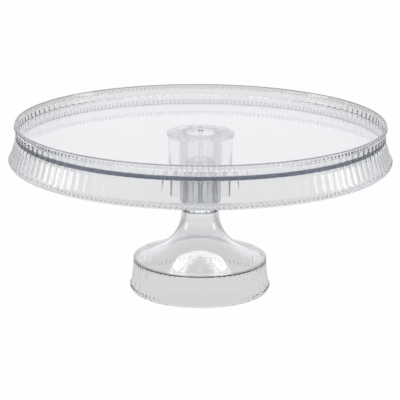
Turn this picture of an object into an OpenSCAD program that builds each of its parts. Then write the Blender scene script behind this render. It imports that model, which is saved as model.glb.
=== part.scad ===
// Clear plastic cake stand: a round plate with a raised rim and a flared skirt,
// a centre column hooked under the plate, and a hollow pedestal that the column slips onto.
// Millimetres, +Z up, origin at the centre of the foot's rim on the table.

/* [Plate] */
// Diameter over the beads on the skirt's hem
skirt_d = 305; // [298:1:320]
// Height of the plate's rim above the table
stand_h = 138.6; // [134:0.1:142]
// Diameter over the beads below the rim
rim_d = 295; // [292:0.5:297]
// Depth of the plate from its rim down to the hem
plate_h = 31.6; // [29:0.1:34]
// Depth of the tray from its rim down to the floor's top face
tray_h = 8.9; // [7:0.1:10]
// Thickness of the floor
floor_t = 3; // [2.4:0.1:4]
// Thickness of the skirt and the rim
wall_t = 2.3; // [1.8:0.1:3]

/* [Column] */
// Diameter of the flange under the floor
flange_d = 54; // [52:0.5:60]
// Thickness of the flange
flange_t = 2.5; // [2:0.1:3]
// Outside diameter of the column at its lower end
column_d = 34.8; // [34.4:0.1:36]
// Outside diameter of the column below its flange
column_top_d = 33.8; // [33.6:0.1:34.2]
// Diameter of the column's bore
bore_d = 24; // [23:0.1:26]
// Height of the column's lower end above the table
column_z = 67; // [66:0.5:70]
// Number of gussets between the column and its flange
gusset_count = 4; // [2:2:4]
// Thickness of a gusset
gusset_t = 3.2; // [1.6:0.1:3.4]
// Height of the gussets' lower ends above the table
gusset_z = 76; // [74:0.5:110]

/* [Pedestal] */
// Diameter over the beads round the foot
foot_d = 115; // [112:0.5:125]
// Diameter of the foot's shoulder
shoulder_d = 108; // [104:0.5:110]
// Height of the foot's shoulder
shoulder_h = 25.9; // [24:0.1:28]
// Diameter of the neck that carries the column
neck_d = 29.8; // [29:0.1:31]
// Height of the top of the plug that stands inside the column
plug_top_z = 104; // [80:0.5:122]
// Bore of the plug
plug_bore_d = 11.6; // [10:0.1:19]
// Radius of the flare between neck and foot
flare_r = 34.7; // [33:0.1:36]
// Wall thickness of the pedestal
shell_t = 2.2; // [1.8:0.1:2.6]

/* [Joints] */
// Angle that the plate turns between locked and free
twist_angle = 30; // [20:1:40]
// Distance of the headed studs from the axis
stud_pitch_r = 21.6; // [21.4:0.1:21.8]
// Number of studs, one between each pair of gussets
stud_count = 4; // [2:2:4]
// Number of keys round the plug
key_count = 4; // [2:1:6]

/* [Hidden] */
$fn = 96;

slip_gap = 0.1;       // radial gap of the plug in the column's bore
rest_gap = 0.2;       // gap below the column's end at rest
face_gap = 0.3;       // gap between the flange and what it faces
slot_gap = 0.4;       // gap round a stud in its slot
cut = 1;              // how far a cutting shape runs past a face

// Plate levels and radii
hem_z = stand_h - plate_h;
floor_z = stand_h - tray_h;
floor_under_z = floor_z - floor_t;
hem_bead_r = 1.7;
rim_bead_r = 1.3;
hem_bead_z = hem_z + 2.3;
rim_bead_z = stand_h - 2.9;
hem_base_r = skirt_d / 2 - 1.1;
hem_top_z = hem_z + 4.1;
waist_r = rim_d / 2 - 0.9;
waist_z = floor_under_z;
skirt_power = 1.15;   // how late the skirt's flare starts
skirt_steps = 12;
rim_edge_r = 0.75;
tray_draft = 0.9;     // how much wider the tray is at its rim than at its floor
tray_fillet = 1.2;
gate_r = 2.2;
gate_depth = 0.3;

// Column levels and radii
flange_top_z = floor_under_z - face_gap;
flange_z = flange_top_z - flange_t;
bore_r = bore_d / 2;
taper_z = column_z + 21;
flange_fillet = 0.6;
edge_r = 0.5;
gusset_r = flange_d / 2 - 1.6;
gusset_root_r = (column_top_d / 2 + bore_r) / 2;

// Headed studs under the plate and their slots in the flange
stud_r = 2;
stud_head_r = 3.4;
stud_head_t = 1.5;
stud_head_z = flange_z - face_gap - stud_head_t;
stud_angle = 24;      // from a gusset to a locked stud
slot_r = stud_r + slot_gap;
slot_wide_r = stud_head_r + slot_gap + 0.1;

// Pedestal levels and radii
neck_r = neck_d / 2;
neck_top_z = column_z - rest_gap;
plug_r = bore_r - slip_gap;
plug_bore_r = plug_bore_d / 2;
flare_z = column_z - 2.7;
flare_end = 62;       // angle at which the flare's arc runs on into the foot's top
flare_reach = 12.1;   // how far the arc's end tangent pulls the foot's top out
flare_steps = 16;
foot_bead_r = 1.8;
foot_bead_z = 2.7;
foot_hem_r = foot_d / 2 - 1.4;
foot_hem_z = 4.9;
foot_steps = 6;

// Keys round the plug and their notches in the column
key_angle = 45;       // from a gusset to the first key
key_w = 4;
key_h = 3.7;
key_r = neck_r - 0.4;
root_r = bore_r - 1.2;
notch_gap = 0.3;

// Points along an arc from angle a0 to a1 in the radius-height plane
function arc(cr, cz, r, a0, a1, steps) =
    [for (i = [0:steps]) let (a = a0 + (a1 - a0) * i / steps) [cr + r * cos(a), cz + r * sin(a)]];

// Points along the skirt from its waist down to its hem, moved inwards by inset
function skirt(inset) =
    [for (i = [0:skirt_steps]) let (t = i / skirt_steps)
        [waist_r - inset + (hem_base_r - waist_r) * pow(t, skirt_power),
         waist_z + (hem_top_z - waist_z) * t]];

// A list of points in the opposite order
function reversed(points) = [for (i = [len(points) - 1:-1:0]) points[i]];

// Points along the foot's top, which carries the flare's arc on to the shoulder
function foot_top(start, shoulder) =
    let (bend = start + flare_reach * [sin(flare_end), -cos(flare_end)])
    [for (i = [1:flare_steps / 2]) let (t = i / (flare_steps / 2))
        (1 - t) * (1 - t) * start + 2 * t * (1 - t) * bend + t * t * shoulder];

// Points along the flare from the neck down, moved inwards by inset
function flare(inset) =
    arc(neck_r + flare_r, flare_z, flare_r + inset, 180, 180 + flare_end, flare_steps);

// Points down the foot's skirt, moved inwards by inset
function foot_skirt(inset) =
    [for (i = [1:foot_steps]) let (t = i / foot_steps)
        [shoulder_d / 2 - inset + (foot_hem_r - shoulder_d / 2) * t * t,
         shoulder_h - inset + (foot_hem_z - shoulder_h + inset) * t]];

// Outline of the plate: floor, tray wall with its rim beads, and skirt with its hem beads
function plate_outline() =
    let (tray_r = waist_r - wall_t + 0.6, rim_in_r = tray_r + tray_draft)
    concat(
        [[0, floor_under_z]],
        skirt(wall_t),
        [[hem_base_r - wall_t + 0.2, hem_z + edge_r], [hem_base_r - wall_t + 0.7, hem_z],
         [hem_base_r - 0.3, hem_z]],
        arc(skirt_d / 2 - hem_bead_r, hem_bead_z, hem_bead_r, -60, 60, 6),
        reversed(skirt(0)),
        [[waist_r - 0.3, rim_bead_z - 1.6]],
        arc(rim_d / 2 - rim_bead_r, rim_bead_z, rim_bead_r, -60, 60, 6),
        arc(rim_d / 2 - 0.4 - rim_edge_r, stand_h - rim_edge_r, rim_edge_r, 20, 90, 4),
        arc(rim_in_r + rim_edge_r / 2, stand_h - rim_edge_r / 2, rim_edge_r / 2, 100, 180, 3),
        arc(tray_r - tray_fillet, floor_z + tray_fillet, tray_fillet, 0, -90, 5),
        [[gate_r, floor_z], [gate_r, floor_z - gate_depth], [0, floor_z - gate_depth]]
    );

// Outline of the column's wall and flange
function column_outline() =
    [[bore_r, column_z], [column_d / 2 - edge_r, column_z], [column_d / 2, column_z + edge_r],
     [column_d / 2, taper_z], [column_top_d / 2, flange_z - flange_fillet],
     [column_top_d / 2 + flange_fillet, flange_z],
     [flange_d / 2 - edge_r, flange_z], [flange_d / 2, flange_z + edge_r],
     [flange_d / 2, flange_top_z - edge_r], [flange_d / 2 - edge_r, flange_top_z],
     [bore_r + 1, flange_top_z], [bore_r, flange_top_z - 1]];

// Outline of the pedestal's wall, from the plug's top down the outside and back up the inside
function pedestal_outline() =
    let (outer = flare(0), inner = flare(shell_t),
         outer_end = outer[len(outer) - 1], inner_end = inner[len(inner) - 1],
         shoulder = [shoulder_d / 2, shoulder_h],
         inner_shoulder = [shoulder_d / 2 - shell_t, shoulder_h - shell_t])
    concat(
        [[plug_r - 0.8, plug_top_z], [plug_r, plug_top_z - 0.8], [plug_r, neck_top_z],
         [neck_r - edge_r, neck_top_z], [neck_r, neck_top_z - edge_r]],
        outer,
        foot_top(outer_end, shoulder),
        foot_skirt(0),
        arc(foot_d / 2 - foot_bead_r, foot_bead_z, foot_bead_r, 60, -60, 6),
        [[foot_hem_r + 0.2, 0], [foot_hem_r - shell_t, 0]],
        reversed(foot_skirt(shell_t)),
        [inner_shoulder],
        reversed(foot_top(inner_end, inner_shoulder)),
        reversed(inner),
        [[plug_bore_r, neck_top_z - shell_t], [plug_bore_r, plug_top_z]]
    );

// A headed stud that hangs from the floor and locks under the flange
module headed_stud() {
    shank_h = floor_under_z + cut - stud_head_z;
    translate([stud_pitch_r, 0, stud_head_z]) cylinder(r = stud_r, h = shank_h);
    translate([stud_pitch_r, 0, stud_head_z]) cylinder(r = stud_head_r, h = stud_head_t);
}

// A keyhole slot: narrow where the stud locks, wide where its head drops through
module keyhole_slot() {
    slot_h = flange_t + 2 * cut;
    translate([0, 0, flange_z - cut])
        rotate_extrude(angle = twist_angle)
            translate([stud_pitch_r - slot_r, 0])
                square([2 * slot_r, slot_h]);
    translate([stud_pitch_r, 0, flange_z - cut]) cylinder(r = slot_r, h = slot_h);
    rotate([0, 0, twist_angle])
        translate([stud_pitch_r, 0, flange_z - cut]) cylinder(r = slot_wide_r, h = slot_h);
}

// Places its child count times round the axis, the first one at the angle start
module around(count, start) {
    for (i = [0:count - 1])
        rotate([0, 0, start + i * 360 / count]) children();
}

// A thin upright web with a round outer edge, from the column out under the flange
module gusset() {
    gusset_h = flange_z + edge_r - gusset_z;
    edge_centre_r = gusset_r - gusset_t / 2;
    translate([gusset_root_r, -gusset_t / 2, gusset_z])
        cube([edge_centre_r - gusset_root_r, gusset_t, gusset_h]);
    translate([edge_centre_r, 0, gusset_z]) cylinder(d = gusset_t, h = gusset_h);
}

// A key that stands on the neck beside the plug and stops the column turning
module key() {
    translate([root_r, -key_w / 2, neck_top_z - cut])
        cube([key_r - root_r, key_w, key_h + cut]);
}

module cake_plate() {
    color([0.90, 0.93, 0.96, 0.45]) {
        rotate_extrude() polygon(plate_outline());
        around(stud_count, stud_angle) headed_stud();
    }
}

module centre_column() {
    notch_w = key_w + 2 * notch_gap;
    notch_h = key_h - rest_gap + notch_gap;
    color([0.82, 0.86, 0.90, 0.55])
        difference() {
            union() {
                rotate_extrude() polygon(column_outline());
                around(gusset_count, 0) gusset();
            }
            around(stud_count, stud_angle) keyhole_slot();
            around(key_count, key_angle)
                translate([root_r, -notch_w / 2, column_z - cut])
                    cube([column_d / 2, notch_w, notch_h + cut]);
        }
}

module pedestal_foot() {
    color([0.88, 0.90, 0.93, 0.5]) {
        rotate_extrude() polygon(pedestal_outline());
        around(key_count, key_angle) key();
    }
}

cake_plate();
centre_column();
pedestal_foot();
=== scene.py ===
"""Clear plastic cake stand: detailed meshes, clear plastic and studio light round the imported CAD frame."""

import math

import bmesh
import bpy
from mathutils import Matrix, Vector
from mathutils.geometry import delaunay_2d_cdt


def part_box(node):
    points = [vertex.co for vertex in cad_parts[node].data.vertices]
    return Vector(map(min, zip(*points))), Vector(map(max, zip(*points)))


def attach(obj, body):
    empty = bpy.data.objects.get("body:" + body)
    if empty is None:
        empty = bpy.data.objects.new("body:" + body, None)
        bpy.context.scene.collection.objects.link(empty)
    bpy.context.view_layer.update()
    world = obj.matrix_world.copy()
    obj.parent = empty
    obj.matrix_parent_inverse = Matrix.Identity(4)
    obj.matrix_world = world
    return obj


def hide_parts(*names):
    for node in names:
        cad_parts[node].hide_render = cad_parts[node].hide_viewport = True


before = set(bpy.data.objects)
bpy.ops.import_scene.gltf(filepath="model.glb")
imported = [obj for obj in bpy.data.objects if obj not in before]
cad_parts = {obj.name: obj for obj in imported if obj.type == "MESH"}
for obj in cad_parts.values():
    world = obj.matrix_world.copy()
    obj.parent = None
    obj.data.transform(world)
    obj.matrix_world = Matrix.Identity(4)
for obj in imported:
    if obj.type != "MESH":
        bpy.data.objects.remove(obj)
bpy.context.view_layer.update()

MM = 0.001
TAU = 2 * math.pi

# ---------------------------------------------------------------- sizes, in millimetres, from the frame


def box_mm(node):
    """The low and high corners of a CAD node's box."""
    low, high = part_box(node)
    return [v / MM for v in low], [v / MM for v in high]


plate_low, plate_high = box_mm("cake_plate")
column_low, column_high = box_mm("centre_column")
foot_high = box_mm("pedestal_foot")[1]

# Plate
SKIRT_R = plate_high[0]
RIM_Z = plate_high[2]
HEM_Z = plate_low[2]
RIM_R = SKIRT_R - 5.0
WALL = 2.3
FLOOR_Z = RIM_Z - 8.9
UNDER_Z = FLOOR_Z - 3.0
HEM_BASE_R = SKIRT_R - 1.1
HEM_BEAD_Z = HEM_Z + 2.3
HEM_TOP_Z = HEM_Z + 4.1
WAIST_R = RIM_R - 0.9
RIM_BEAD_Z = RIM_Z - 2.9
TRAY_R = WAIST_R - WALL + 0.6
TRAY_DRAFT = 0.9
BEADS = 240
FLUTES = 120

# Column
FLANGE_R = column_high[0]
FLANGE_TOP = column_high[2]
FLANGE_Z = FLANGE_TOP - 2.5
COLUMN_Z = column_low[2]
COLUMN_R = 17.4
COLUMN_TOP_R = 16.9
BORE_R = 12.0
GUSSETS = 4
GUSSET_Z = COLUMN_Z + 9.0
GUSSET_R = FLANGE_R - 1.6
GUSSET_HALF = 1.6
STUDS = 4
STUD_PITCH_R = 21.6
STUD_R = 2.0
STUD_HEAD_R = 3.4
STUD_ANGLE = math.radians(24)
TWIST = math.radians(30)

# Pedestal
FOOT_R = foot_high[0]
PLUG_TOP = foot_high[2]
PLUG_R = BORE_R - 0.1
PLUG_BORE = 5.8
NECK_R = 14.9
NECK_TOP = COLUMN_Z - 0.2
SHOULDER_R = FOOT_R - 3.5
SHOULDER_Z = 25.9
FLARE_R = 34.7
FLARE_Z = COLUMN_Z - 2.7
FLARE_END = math.radians(62)
FLARE_REACH = 12.1
SHELL = 2.2
FOOT_HEM_R = FOOT_R - 1.4
FOOT_HEM_Z = 4.9
FOOT_BEAD_Z = 2.7
FOOT_BEADS = 80
FOOT_FLUTES = 40
KEYS = 4
KEY_ANGLE = math.radians(45)
KEY_R = NECK_R - 0.6
KEY_HALF = 2.0
KEY_TOP = NECK_TOP + 3.7
NOTCH_HALF = 2.3

# ---------------------------------------------------------------- mesh building

SHARP = math.radians(35)
INSIDE_EDGES = 1
MERGE = 1e-5
DOME_POWER = 0.7


class Shell:
    """Rings of points round the axis, and the faces between them."""

    def __init__(self):
        self.points = []
        self.faces = []

    def add(self, points):
        first = len(self.points)
        self.points.extend(points)
        return list(range(first, len(self.points)))

    def ring(self, count, radius, height, relief=None, lift=None):
        """count points at one radius and height; relief and lift add to them as functions of the angle."""
        made = []
        for i in range(count):
            a = TAU * i / count
            r = radius + (relief(a) if relief else 0.0)
            z = height + (lift(a) if lift else 0.0)
            made.append((r * math.cos(a), r * math.sin(a), z))
        return self.add(made)

    def bridge(self, a, b):
        """Faces between two closed rings; one may have a whole number of times the other's points."""
        if len(a) == len(b):
            for i in range(len(a)):
                j = (i + 1) % len(a)
                self.faces.append((a[i], a[j], b[j], b[i]))
            return
        small, big = (a, b) if len(a) < len(b) else (b, a)
        share = len(big) // len(small)
        middle = share // 2
        for i in range(len(small)):
            near, far = small[i], small[(i + 1) % len(small)]
            fan = [big[(share * i + k) % len(big)] for k in range(share + 1)]
            for k in range(share):
                self.faces.append((near if k < middle else far, fan[k], fan[k + 1]))
            self.faces.append((near, far, fan[middle]))

    def stack(self, rings):
        for a, b in zip(rings, rings[1:]):
            self.bridge(a, b)

    def cap(self, ring):
        self.faces.append(tuple(ring))

    def flat(self, outer, holes):
        """A flat face inside the loop outer and outside each loop of holes."""
        loops = [outer, *holes]
        index = [i for loop in loops for i in loop]
        places = [Vector(self.points[i][:2]) for i in index]
        edges, start = [], 0
        for loop in loops:
            edges += [(start + k, start + (k + 1) % len(loop)) for k in range(len(loop))]
            start += len(loop)
        verts, _, faces, source, _, _ = delaunay_2d_cdt(places, edges, [], INSIDE_EDGES, MERGE)
        rounds = [[self.points[i][:2] for i in loop] for loop in loops]
        for face in faces:
            x = sum(verts[v].x for v in face) / len(face)
            y = sum(verts[v].y for v in face) / len(face)
            if inside(x, y, rounds[0]) and not any(inside(x, y, hole) for hole in rounds[1:]):
                self.faces.append(tuple(index[source[v][0]] for v in face))

    def build(self, name):
        """The object called name, with smooth normals that break at edges sharper than SHARP."""
        mesh = bpy.data.meshes.new(name)
        mesh.from_pydata([tuple(c * MM for c in p) for p in self.points], [], self.faces)
        piece = bpy.data.objects.new(name, mesh)
        bpy.context.scene.collection.objects.link(piece)
        turn_outwards(mesh)
        mesh.polygons.foreach_set("use_smooth", [True] * len(mesh.polygons))
        mesh.set_sharp_from_angle(angle=SHARP)
        even = piece.modifiers.new("even_normals", "WEIGHTED_NORMAL")
        even.keep_sharp = True
        even.weight = 80
        return piece


def inside(x, y, loop):
    """True if the point is inside the closed loop of points."""
    hit = False
    for k in range(len(loop)):
        (x0, y0), (x1, y1) = loop[k - 1], loop[k]
        if (y0 > y) != (y1 > y) and x < x0 + (y - y0) * (x1 - x0) / (y1 - y0):
            hit = not hit
    return hit


def turn_outwards(mesh):
    """Drop unused points and faces without area, and turn every face outwards."""
    work = bmesh.new()
    work.from_mesh(mesh)
    bmesh.ops.delete(work, geom=[v for v in work.verts if not v.link_faces], context="VERTS")
    bmesh.ops.dissolve_degenerate(work, edges=work.edges, dist=1e-7)
    bmesh.ops.recalc_face_normals(work, faces=work.faces)
    work.to_mesh(mesh)
    work.free()


def arc(cr, cz, r, start, end, steps):
    """Points along an arc in the radius-height plane, angles in degrees."""
    turns = [math.radians(start + (end - start) * i / steps) for i in range(steps + 1)]
    return [(cr + r * math.cos(a), cz + r * math.sin(a)) for a in turns]


def place_in_repeat(angle, count):
    """Where the angle lies in its repeat, from -1 to 1 with 0 in the middle."""
    return 2 * ((angle * count / TAU + 0.5) % 1.0) - 1


def flute(count, depth):
    """Round upright ribs that meet in sharp grooves."""
    return lambda a: -depth * place_in_repeat(a, count) ** 2


def bead(count, width, up, proud):
    """A row of domed beads at up, -1 to 1 across the row. width is a bead's share of the spacing."""
    def relief(a):
        s = place_in_repeat(a, count) / width
        return proud * max(0.0, 1 - s * s - up * up) ** DOME_POWER
    return relief


def ease(t):
    """A smooth step from 0 to 1 while t goes from 0 to 1."""
    t = min(1.0, max(0.0, t))
    return t * t * (3 - 2 * t)


# ---------------------------------------------------------------- the plate

FINE = BEADS * 10
INNER = FINE // 2
PLAIN = FINE // 4
BEAD_ROWS = 8
BEAD_PROUD = 1.1
HEM_BEAD_HALF = 1.75
HEM_BEAD_WIDTH = 0.88
RIM_BEAD_HALF = 1.3
RIM_BEAD_WIDTH = 0.7
SKIRT_POWER = 1.15
FLUTE_DEPTH = 0.4
RIM_ROUND = 0.7
LIP_ROUND = 0.4
TRAY_FILLET = 1.2
WALL_CORNER = 0.15
STUD_FIELD_R = 40
STUD_SEGMENTS = 32
STUD_GAP = 0.3
STUD_HEAD = 1.5

# Where the rim's row of beads starts, on the skirt's line carried on above the waist.
BEADS_T = (UNDER_Z - RIM_BEAD_Z + RIM_BEAD_HALF + 0.2) / (UNDER_Z - HEM_TOP_Z)

# Rings down the skirt: place from waist to hem, and the flutes' share of their full depth.
OUTSIDE_STEPS = ((1.0, 0.0), (0.96, 0.8), (0.88, 1), (0.66, 1), (0.44, 1), (0.22, 1), (0.0, 1),
                 (BEADS_T + 0.06, 1), (BEADS_T + 0.02, 0.7), (BEADS_T, 0.0))
INSIDE_STEPS = ((0.1, 1), (0.3, 1), (0.5, 1), (0.7, 1), (0.88, 1), (0.96, 0.8), (1.0, 0))

# Rings across the tray's floor: number of points and radius. Then the gate mark's: radius and depth.
FLOOR_RINGS = ((PLAIN, TRAY_R - 1.5), (PLAIN, 120), (PLAIN // 2, 80), (PLAIN // 4, 30), (PLAIN // 8, 2.8))
GATE_MARK = ((2.6, 0.0), (2.3, 0.12), (2.0, 0.25), (1.6, 0.3), (1.2, 0.3))


def skirt_point(t, inset=0.0):
    """A point on the skirt from the waist, t = 0, to the hem's top, t = 1."""
    r = WAIST_R - inset + (HEM_BASE_R - WAIST_R) * max(t, 0.0) ** SKIRT_POWER
    return r, UNDER_Z + (HEM_TOP_Z - UNDER_Z) * t


def skirt_rings(shell, steps, inset):
    rings = []
    for t, share in steps:
        r, z = skirt_point(t, inset)
        rings.append(shell.ring(INNER, r, z, flute(FLUTES, FLUTE_DEPTH * share)))
    return rings


def bead_rows(shell, count, radius, middle, half, number, width, proud):
    """Rings of count points through a row of beads, number in all, that reach half above and below middle."""
    rings = []
    for i in range(BEAD_ROWS + 1):
        up = math.sin(math.pi * (i / BEAD_ROWS - 0.5))
        rings.append(shell.ring(count, radius, middle + half * up, bead(number, width, up, proud)))
    return rings


def headed_stud(shell, angle, root_z):
    """The stud's wall and head below a root ring in the floor's underside; gives that ring."""
    cx, cy = STUD_PITCH_R * math.cos(angle), STUD_PITCH_R * math.sin(angle)
    head_top = FLANGE_Z - STUD_GAP
    head_low = head_top - STUD_HEAD
    outline = [(STUD_R + 0.3, root_z), (STUD_R, root_z - 0.3), (STUD_R, head_top)]
    outline += [(STUD_HEAD_R - 0.2, head_top), (STUD_HEAD_R, head_top - 0.2)]
    outline += [(STUD_HEAD_R, head_low + 0.4), (STUD_HEAD_R - 0.4, head_low)]
    turns = [TAU * k / STUD_SEGMENTS for k in range(STUD_SEGMENTS)]
    rings = []
    for r, z in outline:
        rings.append(shell.add([(cx + r * math.cos(a), cy + r * math.sin(a), z) for a in turns]))
    shell.stack(rings)
    shell.cap(rings[-1])
    return rings[0]


def plate_outside(shell):
    """The hem's edge and beads, the fluted skirt and the rim's beads, from the bottom up."""
    rings = [shell.ring(FINE, HEM_BASE_R - 0.35, HEM_Z), shell.ring(FINE, HEM_BASE_R - 0.05, HEM_Z + 0.25)]
    rings += bead_rows(shell, FINE, HEM_BASE_R, HEM_BEAD_Z, HEM_BEAD_HALF, BEADS, HEM_BEAD_WIDTH, BEAD_PROUD)
    rings += skirt_rings(shell, OUTSIDE_STEPS, 0.0)
    rim_r = WAIST_R - 0.2
    rings += bead_rows(shell, FINE, rim_r, RIM_BEAD_Z, RIM_BEAD_HALF, BEADS, RIM_BEAD_WIDTH, BEAD_PROUD)
    return rings


def tray_rings(shell):
    """The rim's rounded top, the tray's wall and fillet, its floor, and the gate mark in the middle."""
    rim_out = RIM_R - 0.5
    rim_in = TRAY_R + TRAY_DRAFT
    top = arc(rim_out - RIM_ROUND, RIM_Z - RIM_ROUND, RIM_ROUND, 10, 90, 3)
    lip = arc(rim_in + LIP_ROUND, RIM_Z - LIP_ROUND, LIP_ROUND, 90, 180, 4)
    fillet = arc(TRAY_R - TRAY_FILLET, FLOOR_Z + TRAY_FILLET, TRAY_FILLET, 0, -90, 6)
    rings = [shell.ring(FINE, r, z) for r, z in top]
    rings += [shell.ring(PLAIN, r, z) for r, z in lip]
    rings.append(shell.ring(PLAIN, TRAY_R, FLOOR_Z + 2 * TRAY_FILLET))
    rings += [shell.ring(PLAIN, r, z) for r, z in fillet]
    rings += [shell.ring(count, r, FLOOR_Z) for count, r in FLOOR_RINGS]
    rings += [shell.ring(PLAIN // 8, r, FLOOR_Z - depth) for r, depth in GATE_MARK]
    return rings


def plate_inside(shell, hem):
    """The floor's underside with its studs, and the skirt's inner wall down to the ring hem."""
    below = shell.ring(PLAIN // 4, STUD_FIELD_R, UNDER_Z)
    roots = [headed_stud(shell, STUD_ANGLE + TAU * i / STUDS, UNDER_Z) for i in range(STUDS)]
    shell.flat(below, roots)
    top_r = skirt_point(0, WALL)[0]
    rings = [below, shell.ring(PLAIN // 2, 90, UNDER_Z)]
    rings += [shell.ring(PLAIN, 130, UNDER_Z), shell.ring(PLAIN, top_r - 1.0, UNDER_Z)]
    rings.append(shell.ring(INNER, top_r - WALL_CORNER, UNDER_Z, flute(FLUTES, FLUTE_DEPTH)))
    rings.append(shell.ring(INNER, top_r, UNDER_Z - WALL_CORNER, flute(FLUTES, FLUTE_DEPTH)))
    rings += skirt_rings(shell, INSIDE_STEPS, WALL)
    hem_in = HEM_BASE_R - WALL + 0.2
    rings += [shell.ring(INNER, hem_in, HEM_Z + 0.6), shell.ring(INNER, hem_in + 0.45, HEM_Z), hem]
    return rings


def make_plate():
    shell = Shell()
    outside = plate_outside(shell) + tray_rings(shell)
    shell.stack(outside)
    shell.cap(outside[-1])
    shell.stack(plate_inside(shell, outside[0]))
    return shell.build("cake_plate_clear")


# ---------------------------------------------------------------- the column

COLUMN_SEGMENTS = 288
NOTCH_SEGMENTS = 6
NOTCH_TOP = COLUMN_Z + 3.8
GUSSET_STEPS = 6
TAPER_Z = COLUMN_Z + 21
SLOT_GAP = 0.4
SLOT_HEAD_GAP = 0.5
FLANGE_ROUND = 0.5

# The bore's chamfered top: growth in radius and depth below the flange's face.
BORE_MOUTH = ((0.0, 1.2), (0.1, 0.7), (0.4, 0.25), (1.0, 0.0))


def column_outline(shell, radius, height, reach):
    """The column's outer ring with its gussets standing out by reach, 0 to 1, of their full width."""
    made = []
    half = GUSSET_STEPS
    edge_r = GUSSET_R - GUSSET_HALF
    root = math.asin(GUSSET_HALF / radius)
    rest = COLUMN_SEGMENTS // GUSSETS - (2 * half + 1)
    for g in range(GUSSETS):
        middle = TAU * g / GUSSETS
        cos_m, sin_m = math.cos(middle), math.sin(middle)
        for k in range(-half, half + 1):
            turn = k / half
            plain = (radius * math.cos(root * turn), radius * math.sin(root * turn))
            if abs(k) == half:
                out = plain
            else:
                swing = math.pi / 2 * k / (half - 1)
                out = (edge_r + GUSSET_HALF * math.cos(swing), GUSSET_HALF * math.sin(swing))
            u = plain[0] + (out[0] - plain[0]) * reach
            v = plain[1] + (out[1] - plain[1]) * reach
            made.append((u * cos_m - v * sin_m, u * sin_m + v * cos_m, height))
        for k in range(1, rest + 1):
            a = middle + root + (TAU / GUSSETS - 2 * root) * k / (rest + 1)
            made.append((radius * math.cos(a), radius * math.sin(a), height))
    return shell.add(made[half:] + made[:half])


def keyhole(shell, start, height):
    """The outline of a keyhole slot that starts narrow at angle start and is wide at its far end."""
    narrow, wide = STUD_R + SLOT_GAP, STUD_HEAD_R + SLOT_HEAD_GAP
    opening = math.asin(narrow / wide)
    step = math.acos(1 - (wide * math.cos(opening)) ** 2 / (2 * STUD_PITCH_R ** 2))
    end_steps, side_steps, head_steps = 8, 6, 17
    points = []

    def local(angle, r, swing):
        """A point at r and swing from the slot's centre line at angle; swing 0 is outwards."""
        cx, cy = STUD_PITCH_R * math.cos(angle), STUD_PITCH_R * math.sin(angle)
        return cx + r * math.cos(angle + swing), cy + r * math.sin(angle + swing)

    def side(r, k):
        """A point on the slot's side at radius r, k steps along it."""
        a = start + (TWIST - step) * k / side_steps
        return r * math.cos(a), r * math.sin(a)

    for k in range(end_steps + 1):
        points.append(local(start, narrow, -k * math.pi / end_steps))
    for k in range(1, side_steps + 1):
        points.append(side(STUD_PITCH_R - narrow, k))
    for k in range(1, head_steps):
        swing = 1.5 * math.pi - opening - (TAU - 2 * opening) * k / head_steps
        points.append(local(start + TWIST, wide, swing))
    for k in range(side_steps, 0, -1):
        points.append(side(STUD_PITCH_R + narrow, k))
    return shell.add([(x, y, height) for x, y in points])


def notched_ring(shell, radius, height):
    """A ring whose points at the notches' sides keep one distance from the notch's middle at any radius."""
    per = COLUMN_SEGMENTS // KEYS
    side = math.asin(NOTCH_HALF / radius)
    made = []
    for i in range(COLUMN_SEGMENTS):
        key, step = divmod(i, per)
        off = step - per // 2
        if abs(off) <= NOTCH_SEGMENTS:
            turn = side * off / NOTCH_SEGMENTS
        else:
            rest = (abs(off) - NOTCH_SEGMENTS) / (per // 2 - NOTCH_SEGMENTS)
            turn = math.copysign(side + (math.pi / KEYS - side) * rest, off)
        a = KEY_ANGLE + TAU * key / KEYS + turn
        made.append((radius * math.cos(a), radius * math.sin(a), height))
    return shell.add(made)


def notched_end(shell, above):
    """The column's lower end with its notches, below the ring above; gives the bore's ring at their top."""
    top = notched_ring(shell, COLUMN_R, NOTCH_TOP)
    outer = [notched_ring(shell, COLUMN_R, COLUMN_Z + 0.4), notched_ring(shell, COLUMN_R - 0.4, COLUMN_Z)]
    bore = notched_ring(shell, BORE_R, NOTCH_TOP)
    inner = [notched_ring(shell, BORE_R, COLUMN_Z + 0.4), notched_ring(shell, BORE_R + 0.3, COLUMN_Z)]
    shell.bridge(above, top)
    open_at = set()
    for k in range(KEYS):
        middle = round((KEY_ANGLE + TAU * k / KEYS) / TAU * COLUMN_SEGMENTS)
        open_at |= {(middle + d) % COLUMN_SEGMENTS for d in range(-NOTCH_SEGMENTS, NOTCH_SEGMENTS)}
    loop = [top, *outer, *inner[::-1], bore]
    for i in range(COLUMN_SEGMENTS):
        j = (i + 1) % COLUMN_SEGMENTS
        if i in open_at:
            shell.faces.append((top[i], top[j], bore[j], bore[i]))
        else:
            for a, b in zip(loop, loop[1:]):
                shell.faces.append((a[i], a[j], b[j], b[i]))
        if (i in open_at) != (j in open_at):
            shell.faces.append(tuple(ring[j] for ring in loop))
    return bore


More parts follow.
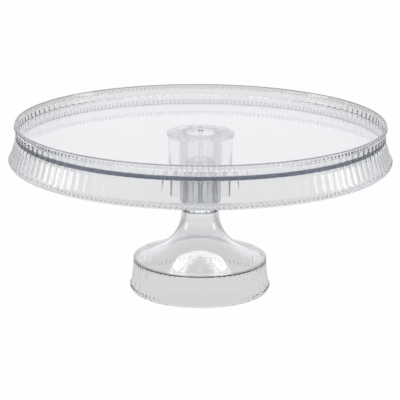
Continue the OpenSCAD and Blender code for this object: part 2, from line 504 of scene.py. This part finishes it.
def make_column():
    shell = Shell()
    under = column_outline(shell, COLUMN_TOP_R, FLANGE_Z, 1.0)
    walls = [under, column_outline(shell, COLUMN_TOP_R, FLANGE_Z - 1.0, 1.0)]
    walls.append(column_outline(shell, COLUMN_R, TAPER_Z, 1.0))
    walls.append(column_outline(shell, COLUMN_R, GUSSET_Z + 0.4, 1.0))
    walls.append(column_outline(shell, COLUMN_R, GUSSET_Z, 0.94))
    walls.append(column_outline(shell, COLUMN_R, GUSSET_Z, 0.0))
    walls.append(shell.ring(COLUMN_SEGMENTS, COLUMN_R, GUSSET_Z - 1.5))
    shell.stack(walls)

    bore = [notched_end(shell, walls[-1])]
    bore += [shell.ring(COLUMN_SEGMENTS, BORE_R + grow, FLANGE_TOP - down) for grow, down in BORE_MOUTH]
    shell.stack(bore)
    edge_r = FLANGE_R - FLANGE_ROUND
    edge = arc(edge_r, FLANGE_Z + FLANGE_ROUND, FLANGE_ROUND, -90, 0, 3)[1:]
    edge += arc(edge_r, FLANGE_TOP - FLANGE_ROUND, FLANGE_ROUND, 0, 90, 3)
    flange = [shell.ring(COLUMN_SEGMENTS, edge_r, FLANGE_Z)]
    flange += [shell.ring(COLUMN_SEGMENTS, r, z) for r, z in edge]
    shell.stack(flange)
    low_holes, high_holes = [], []
    for i in range(STUDS):
        start = STUD_ANGLE + TAU * i / STUDS
        low_holes.append(keyhole(shell, start, FLANGE_Z))
        high_holes.append(keyhole(shell, start, FLANGE_TOP))
        shell.bridge(low_holes[-1], high_holes[-1])
    shell.flat(flange[0], [under, *low_holes])
    shell.flat(flange[-1], [bore[-1], *high_holes])
    return shell.build("centre_column_clear")


# ---------------------------------------------------------------- the pedestal

FOOT_FINE = FOOT_BEADS * 12
FOOT_PLAIN = FOOT_FINE // 2
FOOT_BEAD_HALF = 1.8
FOOT_BEAD_WIDTH = 0.72
FOOT_BEAD_PROUD = 1.0
FOOT_FLUTE_DEPTH = 0.5
FOOT_FLUTE_STEPS = 8
FOOT_FLUTES_T = 0.21
TOOTH_DEPTH = 0.6
FLARE_STEPS = 26
FLARE_STEPS_INSIDE = 20
TOP_STEPS = 12
WALL_STEPS = 6
INNER_ROUND = 1.2

# Rings through the shoulder's teeth: how far below the shoulder, and the teeth's share of their full depth.
TEETH = ((0.6, 0.0), (0.8, 0.7), (1.4, 1.0), (2.4, 0.9), (4.0, 0.3))


def flare_points(inset, steps):
    """The concave flare below the neck, moved inwards by inset, from the top down."""
    return arc(NECK_R + FLARE_R, FLARE_Z, FLARE_R + inset, 180, 180 + math.degrees(FLARE_END), steps)


def foot_top_points(start, shoulder, steps):
    """The foot's top, which carries the flare's arc on to the shoulder."""
    bend = (start[0] + FLARE_REACH * math.sin(FLARE_END), start[1] - FLARE_REACH * math.cos(FLARE_END))
    made = []
    for i in range(1, steps + 1):
        t = i / steps
        made.append(tuple((1 - t) ** 2 * a + 2 * t * (1 - t) * b + t * t * c
                          for a, b, c in zip(start, bend, shoulder)))
    return made


def foot_side_r(t, inset=0.0):
    """The radius of the foot's side from the shoulder, t = 0, to the hem, t = 1."""
    return SHOULDER_R - inset + (FOOT_HEM_R - SHOULDER_R) * t * t


def stand_out(radius, target, half):
    """Relief of a block that stands out to target at each key, half wide on each side."""
    def relief(a):
        off = (a - KEY_ANGLE + TAU / KEYS / 2) % (TAU / KEYS) - TAU / KEYS / 2
        return target - radius if abs(off) * target <= half + 0.01 else 0.0
    return relief


def plug_rings(shell):
    """The plug, the keys beside it, and the neck's top that carries the column, from the top down."""
    above_keys = [(PLUG_R - 0.8, PLUG_TOP), (PLUG_R - 0.1, PLUG_TOP - 0.6), (PLUG_R, PLUG_TOP - 1.4)]
    above_keys.append((PLUG_R, KEY_TOP + 0.1))
    below_keys = [(NECK_R - 0.5, NECK_TOP), (NECK_R - 0.15, NECK_TOP - 0.15), (NECK_R, NECK_TOP - 0.5)]
    rings = [shell.ring(FOOT_PLAIN, r, z) for r, z in above_keys]
    for z, key_r in ((KEY_TOP, KEY_R - 0.3), (KEY_TOP - 0.3, KEY_R), (NECK_TOP, KEY_R)):
        rings.append(shell.ring(FOOT_PLAIN, PLUG_R, z, stand_out(PLUG_R, key_r, KEY_HALF)))
    rings += [shell.ring(FOOT_PLAIN, r, z) for r, z in below_keys]
    return rings


def foot_outside(shell):
    """The flare, the foot's top, its toothed shoulder, fluted side and beaded hem, from the top down."""
    flare = flare_points(0, FLARE_STEPS)
    top = foot_top_points(flare[-1], (SHOULDER_R, SHOULDER_Z), TOP_STEPS)
    rings = [shell.ring(FOOT_PLAIN, r, z) for r, z in flare + top[:-1]]
    rings.append(shell.ring(FOOT_FINE, SHOULDER_R - 0.7, SHOULDER_Z + 0.05))
    rings.append(shell.ring(FOOT_FINE, SHOULDER_R - 0.1, SHOULDER_Z - 0.35))
    for drop, share in TEETH:
        r = foot_side_r(drop / (SHOULDER_Z - FOOT_HEM_Z))
        rings.append(shell.ring(FOOT_FINE, r, SHOULDER_Z - drop, flute(FOOT_BEADS, TOOTH_DEPTH * share)))
    for i in range(1, FOOT_FLUTE_STEPS + 1):
        t = FOOT_FLUTES_T + (1 - FOOT_FLUTES_T) * i / FOOT_FLUTE_STEPS
        fade = ease(min(t - FOOT_FLUTES_T, 1 - t) * 6)
        z = SHOULDER_Z + (FOOT_HEM_Z - SHOULDER_Z) * t
        rings.append(shell.ring(FOOT_FINE, foot_side_r(t), z, flute(FOOT_FLUTES, FOOT_FLUTE_DEPTH * fade)))
    rings += bead_rows(shell, FOOT_FINE, FOOT_HEM_R, FOOT_BEAD_Z, -FOOT_BEAD_HALF, FOOT_BEADS,
                       FOOT_BEAD_WIDTH, FOOT_BEAD_PROUD)
    rings.append(shell.ring(FOOT_FINE, FOOT_HEM_R - 0.1, 0.3))
    rings.append(shell.ring(FOOT_FINE, FOOT_HEM_R - 0.5, 0.0))
    return rings


def foot_inside(shell):
    """The foot's hollow inside and the plug's bore, from the bottom up."""
    flare = flare_points(SHELL, FLARE_STEPS_INSIDE)
    shoulder = (SHOULDER_R - SHELL, SHOULDER_Z - SHELL)
    top = foot_top_points(flare[-1], shoulder, TOP_STEPS)
    wall = [(FOOT_HEM_R - SHELL + 0.4, 0.0), (FOOT_HEM_R - SHELL, 0.4)]
    for i in range(WALL_STEPS, 0, -1):
        t = i / WALL_STEPS
        wall.append((foot_side_r(t, SHELL), SHOULDER_Z - SHELL + (FOOT_HEM_Z - SHOULDER_Z + SHELL) * t))
    wall += arc(shoulder[0] - INNER_ROUND, shoulder[1] - INNER_ROUND, INNER_ROUND, 0, 70, 4)
    wall += top[-3::-1] + flare[::-1]
    wall += [(NECK_R - SHELL - 0.3, FLARE_Z + 0.2), (PLUG_BORE + 0.5, NECK_TOP - SHELL)]
    wall += [(PLUG_BORE, NECK_TOP - SHELL + 0.5), (PLUG_BORE, PLUG_TOP - 0.4), (PLUG_BORE + 0.3, PLUG_TOP)]
    return [shell.ring(FOOT_PLAIN, r, z) for r, z in wall]


def make_pedestal():
    shell = Shell()
    rings = plug_rings(shell) + foot_outside(shell) + foot_inside(shell)
    shell.stack(rings + rings[:1])
    return shell.build("pedestal_foot_clear")


# ---------------------------------------------------------------- shader nodes


def node(tree, kind, at, **values):
    """A node at a place in its tree, with the values given to its settings or its inputs."""
    made = tree.nodes.new(kind)
    made.location = at
    for key, value in values.items():
        if hasattr(made, key):
            setattr(made, key, value)
        else:
            made.inputs[key.replace("_", " ")].default_value = value
    return made


def feed(tree, slot, given):
    """Link an output to the input slot, or set the slot to a number."""
    if isinstance(given, bpy.types.NodeSocket):
        tree.links.new(given, slot)
    else:
        slot.default_value = given


def maths(tree, at, operation, *given):
    """A maths node on outputs or numbers; gives its output."""
    made = node(tree, "ShaderNodeMath", at, operation=operation)
    for slot, value in zip(made.inputs, given):
        feed(tree, slot, value)
    return made.outputs[0]


def ramp(tree, at, given, span, result, kind="SMOOTHSTEP"):
    """An output that goes from one end of result to the other while given goes through span."""
    made = node(tree, "ShaderNodeMapRange", at, interpolation_type=kind)
    tree.links.new(given, made.inputs["Value"])
    for name, value in zip(("From Min", "From Max", "To Min", "To Max"), (*span, *result)):
        made.inputs[name].default_value = value
    return made.outputs["Result"]


# ---------------------------------------------------------------- the plastic

IOR = 1.57
ROUGHNESS = (0.004, 0.03)
FLOW = dict(Scale=38.0, Detail=3.0, Roughness=0.5)
HAZE = dict(Scale=320.0, Detail=4.0, Roughness=0.6)
BUMP_STRENGTH = 0.05
BUMP_DISTANCE = 0.0006
TINT_LOSS = ((0.100, 0.095, 0.085), (0.045, 0.042, 0.035))
DEPTH_COLOUR = (0.800, 0.812, 0.840, 1)
DEPTH_DENSITY = 30.0
# Painted outline shade: how much the colour darkens where the surface turns edge-on, over which facing span,
# and how it fades in above outline_z.
OUTLINE_SHADE = 0.6
OUTLINE_SPAN = (0.30, 0.75)
OUTLINE_FADE = 16
# Painted edge shade: the share of an edge's half-width that is darkened fully.
EDGE_CORE = 0.4


def painted_edge_shade(tree, coord, edge_r, edge_z, edge_half, edge_tall, edge_shade):
    """A factor of painted shade that is edge_shade at the circle of edge_r and edge_z and 1 from edge_half
    away from it, or edge_tall times as far up and down; it darkens the plastic's colour into a dark line
    along that edge."""
    link = tree.links.new
    flat = node(tree, "ShaderNodeVectorMath", (-1100, 620), operation="MULTIPLY")
    flat.inputs[1].default_value = (1, 1, 0)
    radius = node(tree, "ShaderNodeVectorMath", (-940, 620), operation="LENGTH")
    height = node(tree, "ShaderNodeSeparateXYZ", (-940, 480))
    profile = node(tree, "ShaderNodeCombineXYZ", (-780, 560))
    from_edge = node(tree, "ShaderNodeVectorMath", (-640, 560), operation="DISTANCE")
    from_edge.inputs[1].default_value = (edge_r * MM, 0, edge_z * MM / edge_tall)
    link(coord, flat.inputs[0])
    link(coord, height.inputs[0])
    link(flat.outputs[0], radius.inputs[0])
    link(radius.outputs["Value"], profile.inputs["X"])
    link(maths(tree, (-860, 400), "DIVIDE", height.outputs["Z"], edge_tall), profile.inputs["Z"])
    link(profile.outputs[0], from_edge.inputs[0])
    span = (edge_half * MM * EDGE_CORE, edge_half * MM)
    return ramp(tree, (-400, 600), from_edge.outputs["Value"], span, (edge_shade, 1.0))


def painted_outline_shade(tree, coord, outline_z):
    """A factor of painted shade that darkens the colour where the surface turns edge-on, into dark outlines.
    It starts at outline_z.
    """
    facing = node(tree, "ShaderNodeLayerWeight", (-940, 860), Blend=0.5).outputs["Facing"]
    height = node(tree, "ShaderNodeSeparateXYZ", (-940, 1060))
    tree.links.new(coord, height.inputs[0])
    turned = ramp(tree, (-740, 860), facing, OUTLINE_SPAN, (0.0, OUTLINE_SHADE))
    fade = (outline_z * MM, (outline_z + OUTLINE_FADE) * MM)
    above = ramp(tree, (-740, 1060), height.outputs["Z"], fade, (0.0, 1.0))
    shade_amount = maths(tree, (-560, 960), "MULTIPLY", turned, above)
    return maths(tree, (-400, 960), "SUBTRACT", 1.0, shade_amount)


def clear_plastic(name, seed, tinting, outline_z, **edge):
    """Clear moulded styrene: faint flow lines and haze in the surface, a slight blue-grey tint in the depth,
    and painted shade that darkens the colour along one edge and where the surface turns edge-on above
    outline_z."""
    mat = bpy.data.materials.new(name)
    mat.use_nodes = True
    tree = mat.node_tree
    tree.nodes.clear()
    link = tree.links.new
    coord = node(tree, "ShaderNodeTexCoord", (-1300, 0)).outputs["Object"]
    place = node(tree, "ShaderNodeMapping", (-900, 0))
    place.inputs["Location"].default_value = (seed, seed * 0.7, seed * 1.3)
    link(coord, place.inputs["Vector"])

    flow = node(tree, "ShaderNodeTexNoise", (-680, 180), **FLOW)
    haze = node(tree, "ShaderNodeTexNoise", (-680, -60), **HAZE)
    link(place.outputs["Vector"], flow.inputs["Vector"])
    link(place.outputs["Vector"], haze.inputs["Vector"])
    tint = node(tree, "ShaderNodeValToRGB", (-420, 320))
    for element, loss in zip(tint.color_ramp.elements, TINT_LOSS):
        element.color = (*(1 - tinting * part for part in loss), 1)
    link(flow.outputs["Fac"], tint.inputs["Fac"])

    # Painted shade: the outline and edge factors darken the plastic's base colour.
    shading = maths(tree, (-240, 760), "MULTIPLY", painted_outline_shade(tree, coord, outline_z),
                    painted_edge_shade(tree, coord, **edge))
    shaded = node(tree, "ShaderNodeVectorMath", (-240, 480), operation="SCALE")
    link(tint.outputs["Color"], shaded.inputs[0])
    link(shading, shaded.inputs["Scale"])
    rough = ramp(tree, (-420, 40), haze.outputs["Fac"], (0.0, 1.0), ROUGHNESS, "LINEAR")
    bump = node(tree, "ShaderNodeBump", (-420, -240), Strength=BUMP_STRENGTH, Distance=BUMP_DISTANCE)
    link(flow.outputs["Fac"], bump.inputs["Height"])

    shader = node(tree, "ShaderNodeBsdfPrincipled", (-80, 120))
    shader.inputs["IOR"].default_value = IOR
    shader.inputs["Transmission Weight"].default_value = 1.0
    link(shaded.outputs[0], shader.inputs["Base Color"])
    link(rough, shader.inputs["Roughness"])
    link(bump.outputs["Normal"], shader.inputs["Normal"])
    depth = node(tree, "ShaderNodeVolumeAbsorption", (-80, -220), Color=DEPTH_COLOUR, Density=DEPTH_DENSITY)
    out = node(tree, "ShaderNodeOutputMaterial", (240, 60))
    link(shader.outputs["BSDF"], out.inputs["Surface"])
    link(depth.outputs["Volume"], out.inputs["Volume"])
    return mat


# ---------------------------------------------------------------- the studio, in metres

CAMERA_PLACE = (-0.0002, -1.190, 0.4033)
CAMERA_TILT = math.radians(90 - 15.53)
CAMERA_ROLL = math.radians(0.35)
CAMERA_LENS = 138.0

# BACKGROUND is what the camera sees directly. The rest is what the plastic sees: the glowing floor with a
# painted shadow near the stand and brighter far from it, painted shade over its front and sides as shares,
# and the room in front, behind and overhead. The spans say where each change starts and ends, on the floor in
# metres and in the room as parts of a unit direction.
BACKGROUND = 0.99
FLOOR_SHADOW = 0.70
FLOOR_FAR = 0.86
FLOOR_FRONT_SHADE = 0.52
FLOOR_SIDE_SHADE = 0.6
FLOOR_REACH = 12.0
FLOOR_DROP = 0.0004
ROOM_FRONT = 0.62
ROOM_BACK = 1.05
ROOM_TOP = 0.5
SHADOW_POOL_SPAN = (0.05, 0.25)
FRONT_SPAN = (-0.9, -0.15)
SIDE_SPAN = (0.1, 0.45)
DEPTH_SPAN = (-0.2, 1.0)
HEIGHT_SPAN = (0.35, 0.85)
ROOM_COLOUR = (0.97, 0.98, 1.0, 1)
WHITE = (1, 1, 1, 1)

SIDE_LAMP = dict(aim=(0, 0, 0.1), width=0.4, height=0.3, radiance=2.5)
TOP_LAMP = dict(aim=(0, 0, 0.05), width=1.15, height=1.45, radiance=3.6, shape="ELLIPSE")


def make_camera():
    data = bpy.data.cameras.new("camera")
    data.sensor_width = 36.0
    data.lens = CAMERA_LENS
    camera = bpy.data.objects.new("camera", data)
    camera.location = CAMERA_PLACE
    down = Matrix.Rotation(CAMERA_TILT, 3, "X")
    roll = Matrix.Rotation(CAMERA_ROLL, 3, "Z")
    camera.rotation_euler = (down @ roll).to_euler()
    bpy.context.scene.collection.objects.link(camera)
    bpy.context.scene.camera = camera


def floor_glow():
    """A glowing floor: white to the camera; to the plastic from above, dimmer, with a painted shadow near the
    stand and painted shade towards its front and sides; clear from below.
    """
    mat = bpy.data.materials.new("floor_white")
    mat.use_nodes = True
    tree = mat.node_tree
    tree.nodes.clear()
    link = tree.links.new
    coord = node(tree, "ShaderNodeTexCoord", (-900, 200)).outputs["Object"]
    out_from_middle = node(tree, "ShaderNodeVectorMath", (-700, 200), operation="LENGTH")
    part = node(tree, "ShaderNodeSeparateXYZ", (-700, 0))
    link(coord, out_from_middle.inputs[0])
    link(coord, part.inputs[0])
    # Painted shadow: the floor's glow is dimmer near the stand.
    shadow_pool = ramp(tree, (-500, 200), out_from_middle.outputs["Value"], SHADOW_POOL_SPAN, (FLOOR_SHADOW, FLOOR_FAR))
    # Painted shade: the glow falls off towards the front and to the sides.
    front = ramp(tree, (-500, -60), part.outputs["Y"], FRONT_SPAN, (FLOOR_FRONT_SHADE, 1.0))
    sideways = maths(tree, (-500, -320), "ABSOLUTE", part.outputs["X"])
    side = ramp(tree, (-340, -320), sideways, SIDE_SPAN, (1.0, FLOOR_SIDE_SHADE))
    lit = maths(tree, (-300, 0), "MULTIPLY", maths(tree, (-380, 60), "MULTIPLY", shadow_pool, front), side)

    path = node(tree, "ShaderNodeLightPath", (-700, 500))
    level = node(tree, "ShaderNodeMix", (-260, 260), data_type="FLOAT", B=BACKGROUND)
    link(path.outputs["Is Camera Ray"], level.inputs["Factor"])
    link(lit, level.inputs["A"])
    glow = node(tree, "ShaderNodeEmission", (0, 0))
    link(level.outputs["Result"], glow.inputs["Strength"])
    clear = node(tree, "ShaderNodeBsdfTransparent", (0, -160))
    facing = node(tree, "ShaderNodeNewGeometry", (0, 200))
    mix = node(tree, "ShaderNodeMixShader", (200, 0))
    out = node(tree, "ShaderNodeOutputMaterial", (400, 0))
    link(facing.outputs["Backfacing"], mix.inputs[0])
    link(glow.outputs[0], mix.inputs[1])
    link(clear.outputs[0], mix.inputs[2])
    link(mix.outputs[0], out.inputs["Surface"])
    return mat


def make_floor():
    mesh = bpy.data.meshes.new("floor")
    corners = [(x * FLOOR_REACH, y * FLOOR_REACH, 0) for x, y in ((-1, -1), (1, -1), (1, 1), (-1, 1))]
    mesh.from_pydata(corners, [], [(0, 1, 2, 3)])
    mesh.materials.append(floor_glow())
    floor = bpy.data.objects.new("floor", mesh)
    floor.location.z = -FLOOR_DROP
    bpy.context.scene.collection.objects.link(floor)


def make_world():
    """Plain white to the camera. To the plastic, a white sweep that falls off in front and overhead."""
    world = bpy.data.worlds.new("studio")
    bpy.context.scene.world = world
    world.use_nodes = True
    tree = world.node_tree
    tree.nodes.clear()
    link = tree.links.new
    coord = node(tree, "ShaderNodeTexCoord", (-900, 0))
    part = node(tree, "ShaderNodeSeparateXYZ", (-700, 0))
    link(coord.outputs["Generated"], part.inputs[0])
    depth = ramp(tree, (-500, 100), part.outputs["Y"], DEPTH_SPAN, (ROOM_FRONT, ROOM_BACK))
    height = ramp(tree, (-500, -200), part.outputs["Z"], HEIGHT_SPAN, (1.0, ROOM_TOP))
    level = maths(tree, (-300, 0), "MULTIPLY", depth, height)
    path = node(tree, "ShaderNodeLightPath", (-300, 300))
    room = node(tree, "ShaderNodeBackground", (-100, -100), Color=ROOM_COLOUR)
    seen = node(tree, "ShaderNodeBackground", (-100, 100), Color=WHITE, Strength=BACKGROUND)
    mix = node(tree, "ShaderNodeMixShader", (150, 0))
    out = node(tree, "ShaderNodeOutputWorld", (350, 0))
    link(level, room.inputs["Strength"])
    link(path.outputs["Is Camera Ray"], mix.inputs[0])
    link(room.outputs[0], mix.inputs[1])
    link(seen.outputs[0], mix.inputs[2])
    link(mix.outputs[0], out.inputs["Surface"])


def softbox(name, place, aim, width, height, radiance, shape="RECTANGLE"):
    """A soft lamp that faces aim. radiance is its brightness beside the white floor's 1."""
    fill = math.pi / 4 if shape == "ELLIPSE" else 1.0
    data = bpy.data.lights.new(name, "AREA")
    data.shape = shape
    data.size, data.size_y = width, height
    data.energy = radiance * math.pi * width * height * fill
    lamp = bpy.data.objects.new(name, data)
    lamp.location = place
    lamp.rotation_euler = (Vector(aim) - Vector(place)).to_track_quat("-Z", "Y").to_euler()
    bpy.context.scene.collection.objects.link(lamp)


def make_light():
    softbox("softbox_left", (-1.3, -0.07, 0.24), **SIDE_LAMP)
    softbox("softbox_right", (1.3, -0.07, 0.24), **SIDE_LAMP)
    softbox("softbox_top", (0, 0.36, 1.40), **TOP_LAMP)


def set_render_quality():
    scene = bpy.context.scene
    scene.view_settings.view_transform = "Standard"
    scene.view_settings.look = "None"
    cycles = scene.cycles
    cycles.max_bounces = 40
    cycles.transmission_bounces = 40
    cycles.glossy_bounces = 24
    cycles.diffuse_bounces = 2
    cycles.volume_bounces = 0
    cycles.transparent_max_bounces = 16
    cycles.sample_clamp_indirect = 6.0
    cycles.use_denoising = True


# ---------------------------------------------------------------- the scene

# The plate has no painted outline shade, the whole column has it, and the pedestal has it on its neck.
# Each also has a painted shade line: the plate's along its rim, the column's down its gussets' outer edges,
# the pedestal's along its shoulder.
PLATE_LOOK = dict(seed=0.0, tinting=1.0, outline_z=200,
                  edge_r=RIM_R - 1.7, edge_z=RIM_Z + 0.2, edge_half=1.7, edge_tall=1, edge_shade=0.22)
COLUMN_LOOK = dict(seed=1.7, tinting=1.0, outline_z=-20,
                   edge_r=GUSSET_R - 1.2, edge_z=GUSSET_Z + 12, edge_half=2.2, edge_tall=12, edge_shade=0.4)
PEDESTAL_LOOK = dict(seed=3.1, tinting=0.5, outline_z=36,
                     edge_r=SHOULDER_R, edge_z=SHOULDER_Z - 0.8, edge_half=2.2, edge_tall=1, edge_shade=0.45)

make_camera()
make_floor()
make_world()
make_light()
set_render_quality()

for make, cad_node, body, look in (
    (make_plate, "cake_plate", "plate", PLATE_LOOK),
    (make_column, "centre_column", "column", COLUMN_LOOK),
    (make_pedestal, "pedestal_foot", "pedestal", PEDESTAL_LOOK),
):
    piece = make()
    piece.data.materials.append(clear_plastic(cad_node + "_plastic", **look))
    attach(piece, body)
    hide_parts(cad_node)
